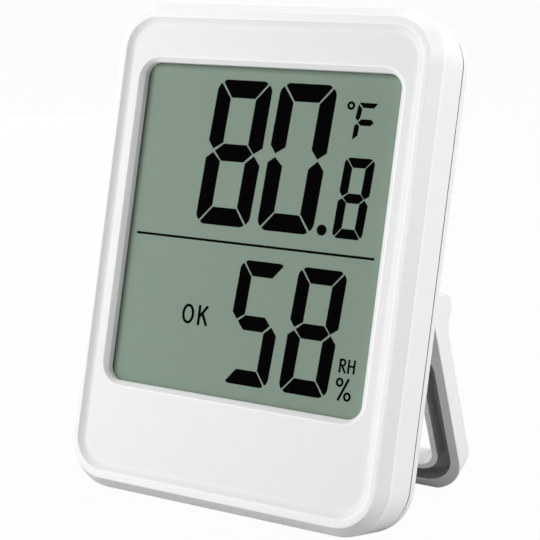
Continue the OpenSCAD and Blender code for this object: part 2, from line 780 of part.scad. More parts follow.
// centre line of the tapered spring coil at the share s of its length
coil_x0 = -nub_end + wire_r / 2;
coil_x1 = barrel_x0 - wire_r - coil_gap;
coil_steps = coil_turns * 14;
function coil_point(s) = let (r = coil_r0 + (coil_r1 - coil_r0) * s, a = 360 * coil_turns * s)
    [coil_x0 + (coil_x1 - coil_x0) * s, r * cos(a), r * sin(a)];
coil_least = min([for (i = [0:coil_steps - 10], j = [i + 10:coil_steps])
    norm(coil_point(i / coil_steps) - coil_point(j / coil_steps))]) - 2 * wire_r;
echo(least_gap_of_the_spring_to_itself = coil_least);

// round wire wound along the coil's centre line
module coil() {
    sides = 6;
    rings = [for (k = [0:coil_steps]) let (p = coil_point(k / coil_steps), r = norm([p[1], p[2]]))
        for (j = [0:sides - 1]) let (w = 360 * j / sides, f = (r + wire_r * cos(w)) / r)
            [p[0] + wire_r * sin(w), p[1] * f, p[2] * f]];
    skin = [for (k = [0:coil_steps - 1], j = [0:sides - 1]) let (n = (j + 1) % sides)
        [k * sides + j, k * sides + n, (k + 1) * sides + n, (k + 1) * sides + j]];
    first = [for (j = [0:sides - 1]) sides - 1 - j];
    last = [for (j = [0:sides - 1]) coil_steps * sides + j];
    polyhedron(points = rings, faces = concat(skin, [first, last]));
}

// spring contact at the negative end
module negative_spring() {
    color(steel) posed() {
        contact_plate(-bay_x);
        translate([0, cell_y, cell_z]) coil();
    }
}

// sliding door of the battery box with its tongues and finger ridges
module battery_door() {
    color(white) posed() difference() {
        union() {
            block(-bay_x + door_play, box_x, door_y, box_y, cell_z - door_hz + door_play, cell_z + door_hz - door_play);
            block(-bay_x - tongue_w / 2, box_x - door_play, door_y, door_y + tongue_t, cell_z - door_hz - tongue_w,
                cell_z + door_hz + tongue_w);
        }
        for (i = [0:ridge_n - 1]) translate([ridge_x + ridge_step * i, 0, cell_z])
            block(0, ridge_w, box_y - ridge_d, far, -ridge_len / 2, ridge_len / 2);
    }
}

// one push button with the flange that keeps it behind the cover
module push_button(x) {
    rod(x, button_up, button_r, flange_y + flange_t / 2, body_d + button_proud);
    rod(x, button_up, button_r + flange_w, flange_y, flange_y + flange_t);
    rod(x, button_up, stem_r, stem_y, flange_y + flange_t / 2);
}

// button that changes the temperature unit
module unit_button() {
    color(grey) posed() push_button(button_x);
}

// button that shows the stored highest and lowest values
module memory_button() {
    color(grey) posed() push_button(-button_x);
}

// two disc magnets behind the flat of the battery box
module magnets() {
    color(steel) posed() for (i = [-1, 1]) rod(i * magnet_x, hang_z, magnet_r, roof_y - magnet_t, roof_y);
}

// point of the stand's side view, given across and along the leg
function leg_point(y, z) = [y * cos(open_angle) - z * sin(open_angle), y * sin(open_angle) + z * cos(open_angle)];

// side view of the stand in the open pose: knuckle, stop heel and leg
module stand_side(low_z) {
    stop = hinge_q - stop_gap;
    heel_top = knuckle_r - heel_drop;
    circle(knuckle_r);
    polygon([[0, heel_top], [-stop, heel_top], [-stop, 0], leg_point(-front_off, 0),
        leg_point(-front_off, low_z), leg_point(stand_back, low_z), leg_point(stand_back, 0)]);
}

// pivot stud on the inner side of one arm
module pivot_stud() {
    translate([ear_x0 + stud_end, 0, 0]) rotate([0, 90, 0])
        cylinder(h = arm_in - ear_x0 - stud_end + root, r = stud_r);
}

// folding stand, a channelled frame round an opening, hinged at its two arm ends
module stand_frame() {
    top_z = far / 2;
    low_z = -leg_len - foot_rim;
    mid_z = (top_z + low_z) / 2;
    half_z = (top_z - low_z) / 2;
    run_t0 = bar_drop + bar_w;
    run_t1 = leg_len - skirt_t;
    loop_t0 = run_t0 + channel_w;
    loop_t1 = run_t1 - channel_w;
    loop_hw = arm_in + loop_t;
    run_r = stand_r - skirt_t;
    loop_r = run_r - loop_turn;
    hole_r = loop_r - loop_t;
    color(white) posed() difference() {
        translate([0, body_d + hinge_q, hinge_z]) union() {
            difference() {
                intersection() {
                    translate([-far, 0, 0]) rotate([90, 0, 90]) linear_extrude(2 * far) stand_side(2 * low_z);
                    rotate([open_angle, 0, 0]) slab(stand_hw, half_z, stand_r, -far, far, mid_z);
                }
                rotate([open_angle, 0, 0]) {
                    block(-arm_in, arm_in, -far, far, -bar_drop, far);
                    slab(arm_in, (loop_t1 - loop_t0) / 2 - loop_t, hole_r, -far, far, -(loop_t0 + loop_t1) / 2);
                    difference() {
                        slab(stand_hw - skirt_t, (run_t1 - run_t0) / 2, run_r, -far, channel_d - front_off,
                            -(run_t0 + run_t1) / 2);
                        slab(loop_hw, (loop_t1 - loop_t0) / 2, loop_r, -2 * far, far, -(loop_t0 + loop_t1) / 2);
                    }
                }
            }
            pivot_stud();
            mirror([1, 0, 0]) pivot_stud();
        }
        under_floor();
    }
}

front_housing();
back_cover();
lcd_polarizer();
lcd_front_glass();
lcd_rear_glass();
lcd_reflector();
display_cushion();
zebra_strip();
circuit_board();
controller_blob();
climate_sensor();
crystal_can();
chip_capacitors();
tact_switches();
board_screws();
housing_screws();
battery_cell();
positive_contact();
negative_spring();
battery_door();
unit_button();
memory_button();
magnets();
stand_frame();
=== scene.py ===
import json
from math import atan2, cos, hypot, pi, radians, sin, sqrt

import bmesh
import bpy
from mathutils import Matrix, Vector


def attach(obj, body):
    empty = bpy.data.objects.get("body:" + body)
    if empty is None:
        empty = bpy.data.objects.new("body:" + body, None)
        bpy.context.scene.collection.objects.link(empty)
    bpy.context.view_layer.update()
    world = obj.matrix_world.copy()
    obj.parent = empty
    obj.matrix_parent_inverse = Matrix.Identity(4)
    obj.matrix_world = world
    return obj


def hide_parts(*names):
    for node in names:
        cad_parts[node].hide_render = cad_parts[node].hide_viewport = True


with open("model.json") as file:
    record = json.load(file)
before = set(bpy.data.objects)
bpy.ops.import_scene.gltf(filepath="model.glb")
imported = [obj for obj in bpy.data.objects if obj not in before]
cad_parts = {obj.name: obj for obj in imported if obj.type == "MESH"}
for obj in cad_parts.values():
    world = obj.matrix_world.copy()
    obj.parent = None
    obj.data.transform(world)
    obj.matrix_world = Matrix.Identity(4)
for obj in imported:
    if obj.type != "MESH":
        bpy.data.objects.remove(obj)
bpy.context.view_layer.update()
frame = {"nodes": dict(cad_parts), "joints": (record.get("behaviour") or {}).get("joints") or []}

# Camera
# The photograph looks down a little at the front right corner of the case from about
# a quarter of a metre, with a long lens, so the upright edges stay nearly parallel.
camera_place = (0.122635, -0.214176, 0.090250)
camera_turn = (78.18978, -0.38184, 29.97740)
lens_mm = 100.7546
sensor_mm = 36.0
lens = bpy.data.cameras.new("camera")
lens.lens = lens_mm
lens.sensor_width = sensor_mm
lens.clip_start = 0.01
camera = bpy.data.objects.new("camera", lens)
camera.location = camera_place
camera.rotation_euler = [radians(turn) for turn in camera_turn]
bpy.context.scene.collection.objects.link(camera)
bpy.context.scene.camera = camera
bpy.context.scene.view_settings.view_transform = "Standard"

# Front housing
# One injection moulding of white plastic: a tray with a slanted outer edge, a flat rim, a hollow slope
# down to the sunken panel and a bevelled window. Inside, a rib frames the display glass, four posts
# take the screws of the case, and four lower ones those of the circuit board.
MM = 0.001
hinge_spot = Vector((0, 16.25, 36.9))
case_middle = 41.25
corner_steps = 16
crease = 40
joints = {joint["name"]: joint for joint in frame["joints"]}
press_axis = joints["unit_button_press"]["axis"]
lean = atan2(press_axis[2], -press_axis[1])
upright = Matrix.Rotation(-lean, 4, "X") @ Matrix.Scale(MM, 4)
hinge_place = Vector(joints["stand_fold"]["pos_m"])
case_pose = Matrix.Translation(hinge_place - upright @ hinge_spot) @ upright


class Shade:
    """One output of a material's nodes: sums of shades add Math nodes, make() adds any other node."""

    def __init__(self, tree, socket=None):
        self.tree = tree
        self.socket = socket

    def fill(self, socket, value):
        if isinstance(value, Shade):
            self.tree.links.new(value.socket, socket)
        else:
            socket.default_value = value

    def make(self, kind, settings=None, sockets=None, out=0):
        node = self.tree.nodes.new(kind)
        for name, value in (settings or {}).items():
            setattr(node, name, value)
        for name, value in (sockets or {}).items():
            self.fill(node.inputs[name], value)
        return Shade(self.tree, node.outputs[out])

    def maths(self, operation, *values):
        return self.make("ShaderNodeMath", {"operation": operation}, dict(enumerate(values)))

    def __add__(self, other):
        return self.maths("ADD", self, other)

    def __radd__(self, other):
        return self.maths("ADD", other, self)

    def __sub__(self, other):
        return self.maths("SUBTRACT", self, other)

    def __rsub__(self, other):
        return self.maths("SUBTRACT", other, self)

    def __mul__(self, other):
        return self.maths("MULTIPLY", self, other)

    def __rmul__(self, other):
        return self.maths("MULTIPLY", other, self)

    def __gt__(self, other):
        return self.maths("GREATER_THAN", self, other)

    def __lt__(self, other):
        return self.maths("LESS_THAN", self, other)

    def noise(self, place, grain_mm, detail=2.0):
        sockets = {"Vector": place, "Scale": 1 / (grain_mm * MM), "Detail": detail}
        return self.make("ShaderNodeTexNoise", {}, sockets)

    def blend(self, factor, first, second):
        sockets = {0: factor, 6: first, 7: second}
        return self.make("ShaderNodeMix", {"data_type": "RGBA"}, sockets, 2)

    def bump(self, height, depth_mm, strength=1.0):
        sockets = {"Height": height, "Distance": depth_mm * MM, "Strength": strength}
        return self.make("ShaderNodeBump", {}, sockets)

    def axes(self, place):
        return [self.make("ShaderNodeSeparateXYZ", {}, {0: place}, axis) for axis in "XYZ"]


def tint(red, green, blue):
    return (red, green, blue, 1)


def finish(name, paint, **fixed):
    """A material whose paint() gives what changes over the surface; fixed sockets are plain numbers."""
    material = bpy.data.materials.new(name)
    material.use_nodes = True
    shader = material.node_tree.nodes["Principled BSDF"]
    start = Shade(material.node_tree)
    place = start.make("ShaderNodeTexCoord", out="Object")
    for socket, value in paint(start, place).items():
        start.fill(shader.inputs[socket], value)
    for socket, value in fixed.items():
        shader.inputs[socket.replace("_", " ")].default_value = value
    return material


def case_axes(shade, place):
    """Across, depth and height of a point in millimetres, in the upright frame of the case."""
    sockets = {"Vector": place, "Location": case_pose.translation, "Rotation": (-lean, 0, 0),
               "Scale": (MM, MM, MM)}
    return shade.axes(shade.make("ShaderNodeMapping", {"vector_type": "TEXTURE"}, sockets))


seam_front = 9.75
seam_back = 10.09
seam_shade_front = 9.735
seam_shade_back = 10.095
shell_dark = tint(0.845, 0.845, 0.845)
shell_light = tint(0.875, 0.875, 0.872)
# Colour of the painted highlight on rounded edges and on the rim
shell_painted_highlight = tint(0.96, 0.96, 0.96)
# Colour of the painted shade on the faces of the stand's channel and its rim
shell_painted_shade = tint(0.38, 0.38, 0.38)
# Colour of the painted shade in the seam between the two halves of the case
seam_painted_shade = tint(0.10, 0.10, 0.10)


def moulded_white(shade, place):
    """White with a faint cloud and a fine grain, a painted highlight on rounded edges and the rim, and
    painted shade in the seam and the stand's channel.
    """
    across, depth, height = case_axes(shade, place)
    # Painted shade in the band of the seam
    seam_shade_band = (depth > seam_shade_front) * (depth < seam_shade_back)
    # Painted shade on the faces of the stand's channel and its rim
    painted_shade = shade.make("ShaderNodeAttribute", {"attribute_name": "painted_shade"}, out="Fac")
    cloud = shade.noise(place, 14, 3)
    speck = shade.noise(place, 0.5, 2)
    grain = shade.noise(place, 0.16, 3)
    # Painted highlight on rounded edges and the rim; these faces are also less rough
    highlight_and_polish = shade.make("ShaderNodeAttribute", {"attribute_name": "polish_and_highlight"}, out="Fac")
    plain = shade.blend(cloud, shell_dark, shell_light)
    highlighted = shade.blend(highlight_and_polish, plain, shell_painted_highlight)
    shaded = shade.blend(painted_shade, highlighted, shell_painted_shade)
    tone = shade.blend(seam_shade_band, shaded, seam_painted_shade)
    rough = 0.42 + 0.08 * speck + 0.06 * cloud - 0.12 * highlight_and_polish
    return {"Base Color": tone, "Roughness": rough, "Normal": shade.bump(grain, 0.004, 0.5)}


shell_white = finish("moulded_white", moulded_white, Specular_IOR_Level=0.4)


def outline(bm, half_w, half_h, corner, depth, middle=case_middle):
    """The edges of a rounded rectangle at one depth behind the rim, in the upright frame."""
    corners = bmesh.ops.create_grid(bm, x_segments=1, y_segments=1, size=1)["verts"]
    bmesh.ops.scale(bm, vec=(half_w, half_h, 1), verts=corners)
    bmesh.ops.rotate(bm, cent=(0, 0, 0), matrix=Matrix.Rotation(pi / 2, 3, "X"), verts=corners)
    bmesh.ops.translate(bm, vec=(0, depth, middle), verts=corners)
    rounded = bmesh.ops.bevel(bm, geom=corners, offset=corner, offset_type="OFFSET", segments=corner_steps,
                              profile=0.5, affect="VERTICES", material=-1)
    face = rounded["verts"][0].link_faces[0]
    edges = list(face.edges)
    bmesh.ops.delete(bm, geom=[face], context="FACES_ONLY")
    return edges


def loft(bm, rings):
    """Skins a row of outlines and joins the last to the first; they are held apart while it is done."""
    apart = 50
    points = [list({vert for edge in ring for vert in edge.verts}) for ring in rings]
    for number, verts in enumerate(points):
        bmesh.ops.translate(bm, vec=(0, number * apart, 0), verts=verts)
    for near, far in zip(rings, rings[1:] + rings[:1]):
        bmesh.ops.bridge_loops(bm, edges=near + far)
    for number, verts in enumerate(points):
        bmesh.ops.translate(bm, vec=(0, -number * apart, 0), verts=verts)
    bmesh.ops.recalc_face_normals(bm, faces=bm.faces)


def round_edges(bm, edges, radius, steps=4):
    """Rounds edges, and marks the new faces for polish and a painted highlight where the mesh keeps such a
    mark.
    """
    made = bmesh.ops.bevel(bm, geom=edges, offset=radius, offset_type="OFFSET", segments=steps,
                           profile=0.5, affect="EDGES", material=-1)
    polish_and_highlight = bm.faces.layers.float.get("polish_and_highlight")
    if polish_and_highlight:
        for face in made["faces"]:
            face[polish_and_highlight] = 1.0


def stand_in(name, bm, material, body, nodes, pose=case_pose):
    """Turns a bmesh into a piece that stands for CAD nodes and rides on their body."""
    bmesh.ops.transform(bm, matrix=pose, verts=bm.verts)
    mesh = bpy.data.meshes.new(name)
    bm.to_mesh(mesh)
    bm.free()
    mesh.polygons.foreach_set("use_smooth", [True] * len(mesh.polygons))
    mesh.set_sharp_from_angle(angle=radians(crease))
    mesh.materials.append(material)
    piece = bpy.data.objects.new(name, mesh)
    bpy.context.scene.collection.objects.link(piece)
    even = piece.modifiers.new("even_normals", "WEIGHTED_NORMAL")
    even.weight = 80
    even.keep_sharp = True
    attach(piece, body)
    if nodes:
        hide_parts(*nodes)


# Each size is a half width, a half height and a corner radius in millimetres
case_size = (30, 41.25, 8.2)
rim_size = (28.47, 39.6, 6.6)
slope_size = (27.5, 38.35, 5.5)
bevel_size = (24.7, 27.825, 4.0)
window_size = (23.85, 26.975, 2.5)
window_back_size = (23.62, 26.975, 2.4)
inside_size = (28.4, 39.65, 6.6)
side_start = 2.45
panel_depth = 0.66
window_depth = 1.35
front_wall = 2.25
window_middle = 45.175
hollow_wide = 1.5
hollow_steps = 12
hollow_power = 1.5
# Share of the edges' painted highlight and polish given to the flat front of the rim
rim_highlight_and_polish = 0.6
shell = bmesh.new()
shell.faces.layers.float.new("polish_and_highlight")
side_back = outline(shell, *case_size, seam_front)
side_front = outline(shell, *case_size, side_start)
rim_outer = outline(shell, *rim_size, 0)
rim_inner = outline(shell, *slope_size, 0)
hollow = []
for step in range(1, hollow_steps + 1):
    share = step / hollow_steps
    inwards = hollow_wide * share
    fall = (share - share ** (hollow_power + 1) / (hollow_power + 1)) * (hollow_power + 1) / hollow_power
    hollow.append(outline(shell, *[size - inwards for size in slope_size], panel_depth * fall))
window_outer = outline(shell, *bevel_size, panel_depth, window_middle)
window_inner = outline(shell, *window_size, window_depth, window_middle)
window_back = outline(shell, *window_back_size, front_wall, window_middle)
inside_front = outline(shell, *inside_size, front_wall)
inside_back = outline(shell, *inside_size, seam_front)
loft(shell, [side_back, side_front, rim_outer, rim_inner] + hollow
     + [window_outer, window_inner, window_back, inside_front, inside_back])
# The flat front of the rim gets part of the painted highlight and polish of the edges
shell_polish_and_highlight = shell.faces.layers.float.get("polish_and_highlight")
for face in shell.faces:
    if face.normal.y < -0.99 and face.calc_center_median().y < 0.01:
        face[shell_polish_and_highlight] = rim_highlight_and_polish
for ring, radius in ((side_back, 0.2), (side_front, 0.2), (rim_outer, 0.16), (rim_inner, 0.12),
                     (window_outer, 0.15), (window_inner, 0.1), (window_back, 0.08)):
    round_edges(shell, ring, radius)

rooted = 1.85
rib_outside = (26.5, 30.525, 1.2)
rib_inside = (25.5, 29.525, 0.2)
rib_middle = 44.375
rib_back = 4.05
post_edge = 0.15
loft(shell, [outline(shell, *rib_outside, rooted, rib_middle),
             outline(shell, *rib_outside, rib_back, rib_middle),
             outline(shell, *rib_inside, rib_back, rib_middle),
             outline(shell, *rib_inside, rooted, rib_middle)])


def screw_post(bm, across, height, radius, back, bore, bore_front):
    """A round post with a blind bore for a screw, rooted in the front wall."""
    verts = bmesh.ops.create_cone(bm, cap_ends=True, segments=32, radius1=radius, radius2=radius,
                                  depth=back - rooted)["verts"]
    bmesh.ops.rotate(bm, cent=(0, 0, 0), matrix=Matrix.Rotation(pi / 2, 3, "X"), verts=verts)
    bmesh.ops.translate(bm, vec=(across, (rooted + back) / 2, height), verts=verts)
    faces = {face for vert in verts for face in vert.link_faces}
    end = max(faces, key=lambda face: face.calc_center_median().y)
    rim = list(end.edges)
    bmesh.ops.inset_individual(bm, faces=[end], thickness=radius - bore, use_even_offset=True)
    mouth = list(end.edges)
    bottom = bmesh.ops.extrude_discrete_faces(bm, faces=[end])["faces"][0]
    bmesh.ops.translate(bm, vec=(0, bore_front - back, 0), verts=bottom.verts)
    round_edges(bm, rim + mouth, post_edge, 2)


# Each post is given by its radius, its back end, its bore's radius and its bore's front end
case_post = (2.4, 6.7, 1.0, 3.45)
case_post_across = 24
case_post_levels = (6, 76.5)
board_post = (1.9, 4.9, 0.85, 2.85)
board_post_across = 12
board_post_levels = (7.725, 77.9)
for side in (-1, 1):
    for level in case_post_levels:
        screw_post(shell, side * case_post_across, level, *case_post)
    for level in board_post_levels:
        screw_post(shell, side * board_post_across, level, *board_post)
bmesh.ops.recalc_face_normals(shell, faces=shell.faces)
stand_in("front_shell", shell, shell_white, "case", ["front_housing"])

# Display
# The front of a reflective segment display: a satin polarising film that is glued on the front glass
# and held behind the window. Its edges carry a painted shadow of the window, widest at the left and the top.
film_light = tint(0.236, 0.314, 0.251)
film_dark = tint(0.222, 0.298, 0.237)
# Colour of the painted shadow along the film's edges
film_painted_shadow = tint(0.060, 0.078, 0.064)
film_half_w = 24.75
film_half_h = 27.875
film_back = 2.45
film_edge = 0.04
window_half_w, window_half_h = window_back_size[:2]
# Widths of the painted shadow at the left, the top and the bottom, and how much of it is lifted at the very
# top and bottom edge
shadow_left = 1.2
shadow_top = 0.9
shadow_top_start = 0.15
shadow_bottom = 0.4
shadow_bottom_start = 0.75


def satin_film(shade, place):
    """A greenish grey with a fine tooth, and a painted shadow of the window along the left, the top and the
    bottom.
    """
    cloud = shade.noise(place, 22, 2)
    grain = shade.noise(place, 0.12, 2)
    across, depth, height = case_axes(shade, place)
    # Painted shadow: how far each edge's shadow has faded, from the edge to clear film
    left = (across + window_half_w) * (1 / shadow_left)
    from_top = window_middle + window_half_h - height
    top = shadow_top_start + from_top * ((1 - shadow_top_start) / shadow_top)
    from_bottom = height - window_middle + window_half_h
    bottom = shadow_bottom_start + from_bottom * ((1 - shadow_bottom_start) / shadow_bottom)
    nearest = shade.maths("MINIMUM", left, shade.maths("MINIMUM", top, bottom))
    unshadowed_film = shade.maths("SMOOTH_MIN", 1.0, shade.maths("MAXIMUM", nearest, 0.0), 0.3)
    tone = shade.blend(0.75 * cloud + 0.25 * grain, film_dark, film_light)
    return {"Base Color": shade.blend(unshadowed_film, film_painted_shadow, tone), "Roughness": 0.50 + 0.08 * grain,
            "Normal": shade.bump(grain, 0.001, 0.4)}


film_finish = finish("satin_film", satin_film, Specular_IOR_Level=0.1)


def block(bm, low, high):
    """A box between two corners."""
    made = bmesh.ops.create_cube(bm, size=1)["verts"]
    low = Vector(low)
    high = Vector(high)
    bmesh.ops.scale(bm, vec=high - low, verts=made)
    bmesh.ops.translate(bm, vec=(low + high) / 2, verts=made)


film = bmesh.new()
block(film, (-film_half_w, front_wall, window_middle - film_half_h),
      (film_half_w, film_back, window_middle + film_half_h))
round_edges(film, film.edges, film_edge, 2)
stand_in("front_film", film, film_finish, "case", ["lcd_polarizer"])

# Display segments
# The dark shapes of the display: seven-part leaning digits, a unit, a dividing line and the
# small signs beside the humidity. Each is a thin flat patch on the front of the film.
ink_depth = 0.03
digit_slant = 0.057


def patch(bm, corners, soft=()):
    """A flat patch with straight sides; soft gives the corners that are rounded, by number."""
    verts = [bm.verts.new((u, v, 0)) for u, v in corners]
    bm.faces.new(verts)
    for number, radius in soft:
        bmesh.ops.bevel(bm, geom=[verts[number]], offset=radius, offset_type="OFFSET", segments=5,
                        profile=0.5, affect="VERTICES", material=-1)


def digit(bm, left, bottom, wide, high, post, bar, parts):
    """The parts of a leaning seven-part digit, named a to g from the top round and the middle last."""
    mid = high / 2
    end = 0.12 * bar
    turn = 0.25 * bar
    shapes = {
        "a": ([(0.36 * post, high - 0.14 * bar), (0.5 * post, high), (wide - 0.5 * post, high),
               (wide - 0.36 * post, high - 0.14 * bar), (wide - 1.07 * post, high - bar),
               (1.07 * post, high - bar)], [(1, end), (2, end)]),
        "b": ([(wide - 0.24 * post, high - 0.2 * bar), (wide - post, high - 1.075 * bar),
               (wide - post, mid + 0.51 * bar), (wide - 0.54 * post, mid + 0.02 * bar),
               (wide, mid + 0.375 * bar), (wide - 0.02 * post, high - 0.36 * bar)], [(5, turn)]),
        "c": ([(wide - 0.24 * post, 0.2 * bar), (wide - post, 1.075 * bar),
               (wide - post, mid - 0.545 * bar), (wide - 0.47 * post, mid - 0.09 * bar),
               (wide, mid - 0.605 * bar), (wide - 0.02 * post, 0.36 * bar)], [(5, turn)]),
        "d": ([(0.36 * post, 0.14 * bar), (0.5 * post, 0), (wide - 0.5 * post, 0),
               (wide - 0.36 * post, 0.14 * bar), (wide - 1.07 * post, bar), (1.07 * post, bar)],
              [(1, end), (2, end)]),
        "e": ([(0.24 * post, 0.2 * bar), (post, 1.075 * bar), (post, mid - 0.51 * bar),
               (0.43 * post, mid - 0.035 * bar), (0, mid - 0.35 * bar), (0.02 * post, 0.36 * bar)],
              [(5, turn)]),
        "f": ([(0.24 * post, high - 0.2 * bar), (post, high - 1.075 * bar), (post, mid + 0.55 * bar),
               (0.4 * post, mid + 0.17 * bar), (0, mid + 0.63 * bar), (0.02 * post, high - 0.36 * bar)],
              [(5, turn)]),
        "g": ([(0.54 * post, mid + 0.05 * bar), (1.08 * post, mid + 0.485 * bar),
               (wide - 1.1 * post, mid + 0.485 * bar), (wide - 0.62 * post, mid),
               (wide - 1.13 * post, mid - 0.485 * bar), (1.07 * post, mid - 0.485 * bar)], []),
    }
    for part in parts:
        corners, soft = shapes[part]
        patch(bm, [(left + x + digit_slant * y, bottom + y) for x, y in corners], soft)


def stroke(bm, start, end, width):
    """A straight pen stroke with square ends."""
    along = Vector(end) - Vector(start)
    side = Vector((-along.y, along.x)).normalized() * width / 2
    first = Vector(start)
    last = Vector(end)
    patch(bm, [first - side, last - side, last + side, first + side])


def hoop(bm, middle, half_w, half_h, width):
    """An upright oval pen stroke."""
    rings = []
    for shrink in (0, width):
        verts = bmesh.ops.create_circle(bm, segments=32, radius=1)["verts"]
        bmesh.ops.scale(bm, vec=(half_w - shrink, half_h - shrink, 1), verts=verts)
        bmesh.ops.translate(bm, vec=(middle[0], middle[1], 0), verts=verts)
        rings += list({edge for vert in verts for edge in vert.link_edges})
    bmesh.ops.bridge_loops(bm, edges=rings)


def dot(bm, middle, radius):
    """A round point."""
    made = bmesh.ops.create_circle(bm, cap_ends=True, segments=32, radius=radius)
    bmesh.ops.translate(bm, vec=(middle[0], middle[1], 0), verts=made["verts"])


# Each digit is given by its left, its foot, its width, its height, its posts' width and its bars' width
large_foot = 4.69
large_digit = (10.36, 24.0, 2.78, 2.93)
small_digit = (5.29, 12.79, 1.48, 1.55)
humid_foot = -20.55
line_level = 2.055
line_pen = 0.39
letter_pen = 0.45
sign_pen = 0.32
percent_pen = 0.36
ink = bmesh.new()
digit(ink, -11.02, large_foot, *large_digit, "abcdefg")
digit(ink, 0.74, large_foot, *large_digit, "abcdef")
dot(ink, (12.65, 5.7), 0.87)
digit(ink, 14.52, 4.70, *small_digit, "abcdefg")
# The degree sign and the letter of the unit
hoop(ink, (15.1, 25.65), 0.68, 0.68, 0.38)
patch(ink, [(16.5, 26.2), (19.75, 26.2), (19.1, 25.4), (17.25, 25.4)])
patch(ink, [(16.4, 25.95), (17.1, 25.2), (16.9, 23.8), (16.5, 23.3), (16.1, 23.8)])
patch(ink, [(16.6, 23.1), (17.2, 23.6), (18.9, 23.6), (19.35, 23.1), (18.8, 22.6), (17.1, 22.6)])
patch(ink, [(16.5, 22.9), (16.9, 22.5), (16.8, 21.0), (15.95, 20.3), (16.05, 22.5)])
# The dividing line and the humidity
stroke(ink, (-22.15, line_level), (22.4, line_level), line_pen)
digit(ink, -2.26, humid_foot, 8.68, 20.15, 2.33, 2.48, "afgcd")
digit(ink, 8.44, humid_foot, 8.70, 20.15, 2.33, 2.48, "abcdefg")
# The word beside it
hoop(ink, (-10.0, -10.35), 1.15, 1.65, letter_pen)
stroke(ink, (-7.87, -8.7), (-7.87, -12.0), letter_pen)
stroke(ink, (-6.35, -8.75), (-7.75, -10.55), letter_pen)
stroke(ink, (-7.25, -10.0), (-6.3, -11.95), letter_pen)
# The two letters and the percent sign behind it
stroke(ink, (18.87, -13.85), (18.87, -16.05), sign_pen)
hoop(ink, (19.3, -14.45), 0.57, 0.62, 0.31)
stroke(ink, (19.25, -15.0), (19.85, -16.05), sign_pen)
stroke(ink, (20.36, -13.85), (20.36, -16.05), sign_pen)
stroke(ink, (21.32, -13.85), (21.32, -16.05), sign_pen)
stroke(ink, (20.36, -14.9), (21.32, -14.9), sign_pen)
hoop(ink, (19.15, -17.55), 0.66, 0.73, percent_pen)
hoop(ink, (20.7, -19.65), 0.66, 0.73, percent_pen)
stroke(ink, (20.68, -16.85), (19.15, -20.4), 0.38)
bmesh.ops.recalc_face_normals(ink, faces=ink.faces)
thickened = bmesh.ops.extrude_face_region(ink, geom=list(ink.faces))
raised = [item for item in thickened["geom"] if isinstance(item, bmesh.types.BMVert)]
bmesh.ops.translate(ink, vec=(0, 0, ink_depth), verts=raised)
on_film = Matrix.Translation((0, front_wall, case_middle)) @ Matrix.Rotation(pi / 2, 4, "X")
bmesh.ops.transform(ink, matrix=on_film, verts=ink.verts)
bmesh.ops.recalc_face_normals(ink, faces=ink.faces)


def segment_ink(shade, place):
    """Nearly black, as a driven segment looks, with a trace of grain."""
    grain = shade.noise(place, 0.2, 2)
    tone = shade.blend(grain, tint(0.001, 0.001, 0.001), tint(0.003, 0.003, 0.003))
    return {"Base Color": tone, "Roughness": 0.45 + 0.1 * grain}


ink_finish = finish("segment_ink", segment_ink, Specular_IOR_Level=0.0)
stand_in("display_segments", ink, ink_finish, "case", [])

# Display glass and reflector
# Two sheets of thin glass with the liquid crystal sealed between them, and behind them a matt
# metal foil that throws the daylight back out. They are clamped between the housing and the board.
still = Matrix.Identity(4)
joined = 2e-6
flat_angle = 0.6
sharp_angle = 35
glass_edge = 0.08
foil_edge = 0.05


def merged(node):
    """A copy of a CAD node with its points joined and its flat faces whole."""
    bm = bmesh.new()
    bm.from_mesh(frame["nodes"][node].data)
    # Layers for the painted highlight with polish, and for the painted shade, of the white plastic
    bm.faces.layers.float.new("polish_and_highlight")
    bm.faces.layers.float.new("painted_shade")
    bmesh.ops.remove_doubles(bm, verts=bm.verts, dist=joined)
    bmesh.ops.dissolve_limit(bm, angle_limit=radians(flat_angle), verts=bm.verts, edges=bm.edges)
    return bm


def soften(bm, radius, steps=2):
    """Rounds the sharp edges of a mesh, by a radius in the mesh's own units."""
    sharp = [edge for edge in bm.edges
             if len(edge.link_faces) == 2 and edge.calc_face_angle() > radians(sharp_angle)]
    round_edges(bm, sharp, radius, steps)


def dress(name, node, edge, material, body, steps=2):
    """A copy of a CAD node with softened edges and its finish, which stands for that node."""
    bm = merged(node)
    soften(bm, edge * MM, steps)
    stand_in(name, bm, material, body, [node], still)


def clear_glass(shade, place):
    """A clear, faintly green sheet with a soft smear."""
    smear = shade.noise(place, 9, 3)
    tone = shade.blend(smear, tint(0.70, 0.80, 0.75), tint(0.76, 0.86, 0.80))
    return {"Base Color": tone, "Roughness": 0.03 + 0.05 * smear}


def matt_foil(shade, place):
    """Rolled foil with long streaks across."""
    drawn = shade.make("ShaderNodeMapping", {}, {"Vector": place, "Scale": (0.06, 1, 1)})
    streak = shade.noise(drawn, 0.25, 2)
    tone = shade.blend(streak, tint(0.66, 0.68, 0.66), tint(0.78, 0.80, 0.77))
    return {"Base Color": tone, "Roughness": 0.32 + 0.2 * streak, "Normal": shade.bump(streak, 0.003, 0.5)}


glass_finish = finish("clear_glass", clear_glass, Transmission_Weight=0.9, IOR=1.52)
foil_finish = finish("matt_foil", matt_foil, Metallic=1.0)
dress("front_glass", "lcd_front_glass", glass_edge, glass_finish, "case")
dress("rear_glass", "lcd_rear_glass", glass_edge, glass_finish, "case")
dress("reflector_foil", "lcd_reflector", foil_edge, foil_finish, "case")

# Foam pad and striped connector
# The pad is black open-cell foam that presses the display forward. The connector is a bar of soft
# silicone with fine carbon stripes; it is squeezed between the glass ledge and the board.
foam_cell = 0.45
stripe_pitch = 0.25
soft_edge = 0.2


